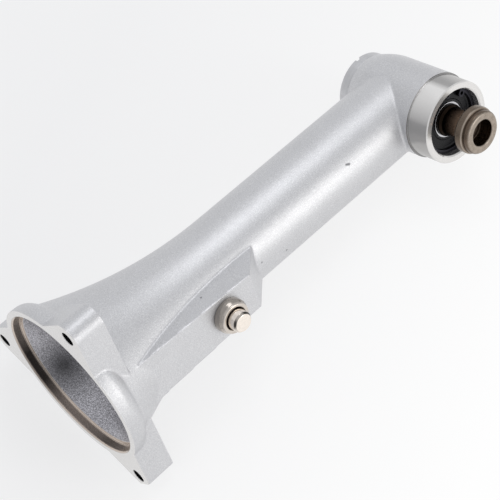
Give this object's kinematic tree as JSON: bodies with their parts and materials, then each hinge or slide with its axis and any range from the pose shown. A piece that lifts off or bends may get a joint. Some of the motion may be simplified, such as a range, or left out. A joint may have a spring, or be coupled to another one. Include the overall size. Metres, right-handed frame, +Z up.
{
  "type": "grinder angle head",
  "caption": "Long-necked cast angle head for a grinder, with an eared motor flange, a bevel gear pair, a flanged output spindle and a spring-loaded spindle lock.",
  "frame": {"origin": "middle of the head's footprint, on the surface that it lies on", "axes": "+Z up; +Y along the neck from the motor flange to the cross head, seen from above; +X to the side that the output spindle points to. The head lies on one flange ear, the flange rim and the rear cap, so the neck dips 4.5 degrees towards the head and the output spindle points 18 degrees up from +X"},
  "size_m": [0.091, 0.2046, 0.0837],
  "materials": {
    "gear_housing": "sand-cast, tumbled, with machined faces",
    "rear_cap": "satin machined",
    "cap_seal_ring": "matt black",
    "front_bearing_outer_ring": "ground",
    "front_bearing_front_seal": "matt black",
    "front_bearing_back_seal": "matt black",
    "rear_bearing_outer_ring": "ground",
    "pinion_bearing_outer_ring": "ground",
    "shaft_bearing_outer_ring": "ground",
    "shaft_bearing_back_seal": "matt black",
    "front_retaining_ring": "dark spring steel",
    "pinion_bearing_ring": "dark spring steel",
    "shaft_bearing_ring": "dark spring steel",
    "lock_bush": "warm bright nickel",
    "lock_spring": "dark spring steel",
    "drive_shaft": "ground steel",
    "drive_dog": "ground steel",
    "dog_pin": "ground steel",
    "shaft_sleeve": "ground steel",
    "lower_sleeve_pin": "ground steel",
    "upper_sleeve_pin": "ground steel",
    "bevel_pinion": "ground steel",
    "lock_hub": "ground steel",
    "hub_pin": "ground steel",
    "pinion_bearing_inner_ring": "ground",
    "shaft_bearing_inner_ring": "ground",
    "shaft_retaining_ring": "dark spring steel",
    "output_spindle": "dark brown oxide, ground at the nose",
    "bevel_gear": "ground steel",
    "gear_key": "ground steel",
    "gear_snap_ring": "dark spring steel",
    "front_bearing_inner_ring": "ground",
    "rear_bearing_inner_ring": "ground",
    "lock_button": "warm bright nickel",
    "lock_pin": "ground steel",
    "shaft_bearing_cage": "pressed steel with polished balls",
    "pinion_bearing_cage": "pressed steel with polished balls",
    "front_bearing_cage": "pressed steel with polished balls",
    "rear_bearing_cage": "pressed steel with polished balls"
  },
  "bodies": {
    "casing": {"gear_housing": "gear_housing", "rear_cap": "rear_cap", "cap_seal_ring": "cap_seal_ring", "front_bearing_outer_ring": "front_bearing_outer_ring", "front_bearing_front_seal": "front_bearing_front_seal", "front_bearing_back_seal": "front_bearing_back_seal", "rear_bearing_outer_ring": "rear_bearing_outer_ring", "pinion_bearing_outer_ring": "pinion_bearing_outer_ring", "shaft_bearing_outer_ring": "shaft_bearing_outer_ring", "shaft_bearing_back_seal": "shaft_bearing_back_seal", "front_retaining_ring": "front_retaining_ring", "pinion_bearing_ring": "pinion_bearing_ring", "shaft_bearing_ring": "shaft_bearing_ring", "lock_bush": "lock_bush", "lock_spring": "lock_spring"},
    "drive_line": {"drive_shaft": "drive_shaft", "drive_dog": "drive_dog", "dog_pin": "dog_pin", "shaft_sleeve": "shaft_sleeve", "lower_sleeve_pin": "lower_sleeve_pin", "upper_sleeve_pin": "upper_sleeve_pin", "bevel_pinion": "bevel_pinion", "lock_hub": "lock_hub", "hub_pin": "hub_pin", "pinion_bearing_inner_ring": "pinion_bearing_inner_ring", "shaft_bearing_inner_ring": "shaft_bearing_inner_ring", "shaft_retaining_ring": "shaft_retaining_ring"},
    "spindle_group": {"output_spindle": "output_spindle", "bevel_gear": "bevel_gear", "gear_key": "gear_key", "gear_snap_ring": "gear_snap_ring", "front_bearing_inner_ring": "front_bearing_inner_ring", "rear_bearing_inner_ring": "rear_bearing_inner_ring"},
    "lock_plunger": {"lock_button": "lock_button", "lock_pin": "lock_pin"},
    "shaft_cage": {"shaft_bearing_cage": "shaft_bearing_cage"},
    "pinion_cage": {"pinion_bearing_cage": "pinion_bearing_cage"},
    "front_cage": {"front_bearing_cage": "front_bearing_cage"},
    "rear_cage": {"rear_bearing_cage": "rear_bearing_cage"}
  },
  "joints": [
    {"name": "drive_spin", "type": "hinge", "parent": "casing", "child": "drive_line", "pos_m": [0.00154, -0.05979, 0.0322], "axis": [0, 0.9972, -0.0754], "continuous": true},
    {"name": "spindle_spin", "type": "hinge", "parent": "casing", "child": "spindle_group", "pos_m": [0.00154, 0.0838, 0.02135], "axis": [0.9444, 0.0248, 0.3279], "continuous": true},
    {"name": "lock_press", "type": "slide", "parent": "casing", "child": "lock_plunger", "axis": [-0.9444, -0.0248, -0.3279], "range_m": [0, 0.0042], "stiffness_N_per_m": 600, "springref_m": -0.002, "deforming": ["lock_spring"]},
    {"name": "shaft_cage_spin", "type": "hinge", "parent": "casing", "child": "shaft_cage", "pos_m": [0.00154, -0.06757, 0.03279], "axis": [0, 0.9972, -0.0754], "continuous": true},
    {"name": "pinion_cage_spin", "type": "hinge", "parent": "casing", "child": "pinion_cage", "pos_m": [0.00154, 0.05947, 0.02319], "axis": [0, 0.9972, -0.0754], "continuous": true},
    {"name": "front_cage_spin", "type": "hinge", "parent": "casing", "child": "front_cage", "pos_m": [0.02176, 0.08433, 0.02837], "axis": [0.9444, 0.0248, 0.3279], "continuous": true},
    {"name": "rear_cage_spin", "type": "hinge", "parent": "casing", "child": "rear_cage", "pos_m": [-0.00884, 0.08353, 0.01775], "axis": [0.9444, 0.0248, 0.3279], "continuous": true}
  ],
  "couplings": [
    {"joint": "spindle_spin", "follows": "drive_spin", "ratio": 0.52381},
    {"joint": "shaft_cage_spin", "follows": "drive_spin", "ratio": 0.381},
    {"joint": "pinion_cage_spin", "follows": "drive_spin", "ratio": 0.368},
    {"joint": "front_cage_spin", "follows": "drive_spin", "ratio": 0.19957},
    {"joint": "rear_cage_spin", "follows": "drive_spin", "ratio": 0.19276}
  ]
}
